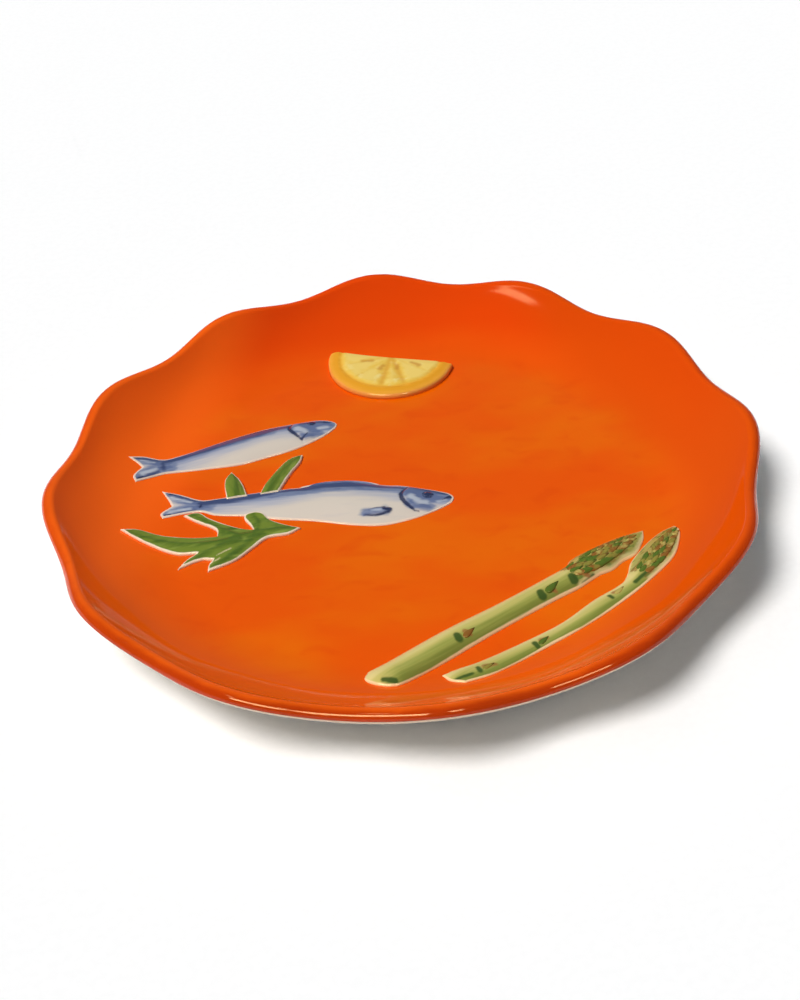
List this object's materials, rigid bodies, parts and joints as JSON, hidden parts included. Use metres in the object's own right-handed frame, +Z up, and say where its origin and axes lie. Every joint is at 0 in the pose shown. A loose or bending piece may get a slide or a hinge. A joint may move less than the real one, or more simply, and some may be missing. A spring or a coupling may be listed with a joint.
{
  "type": "serving plate",
  "caption": "Round scalloped earthenware serving plate with an orange glaze and sardines, rocket, lemon and asparagus moulded on it in low relief.",
  "frame": {"origin": "middle of the foot ring's underside, on the plate's axis", "axes": "+Z up out of the well, +X to the right and +Y to the far side when the sardines' heads point right"},
  "size_m": [0.2762, 0.2763, 0.0284],
  "materials": {
    "clay": "clear glaze over cream clay",
    "orange_glaze": "gloss orange glaze",
    "sardine_glaze": "gloss, off-white with blue brushwork",
    "rocket_glaze": "gloss green",
    "lemon_glaze": "gloss yellow",
    "asparagus_glaze": "gloss yellow-green"
  },
  "bodies": {
    "root": {"plate_body": "clay", "foot_ring": "clay", "orange_glaze": "orange_glaze", "orange_glaze_patch": "orange_glaze", "front_sardine": "sardine_glaze", "back_sardine": "sardine_glaze", "rocket_leaf": "rocket_glaze", "rocket_leaflet_left": "rocket_glaze", "rocket_leaflet_right": "rocket_glaze", "lemon_slice": "lemon_glaze", "thick_asparagus": "asparagus_glaze", "thin_asparagus": "asparagus_glaze"}
  },
  "joints": []
}
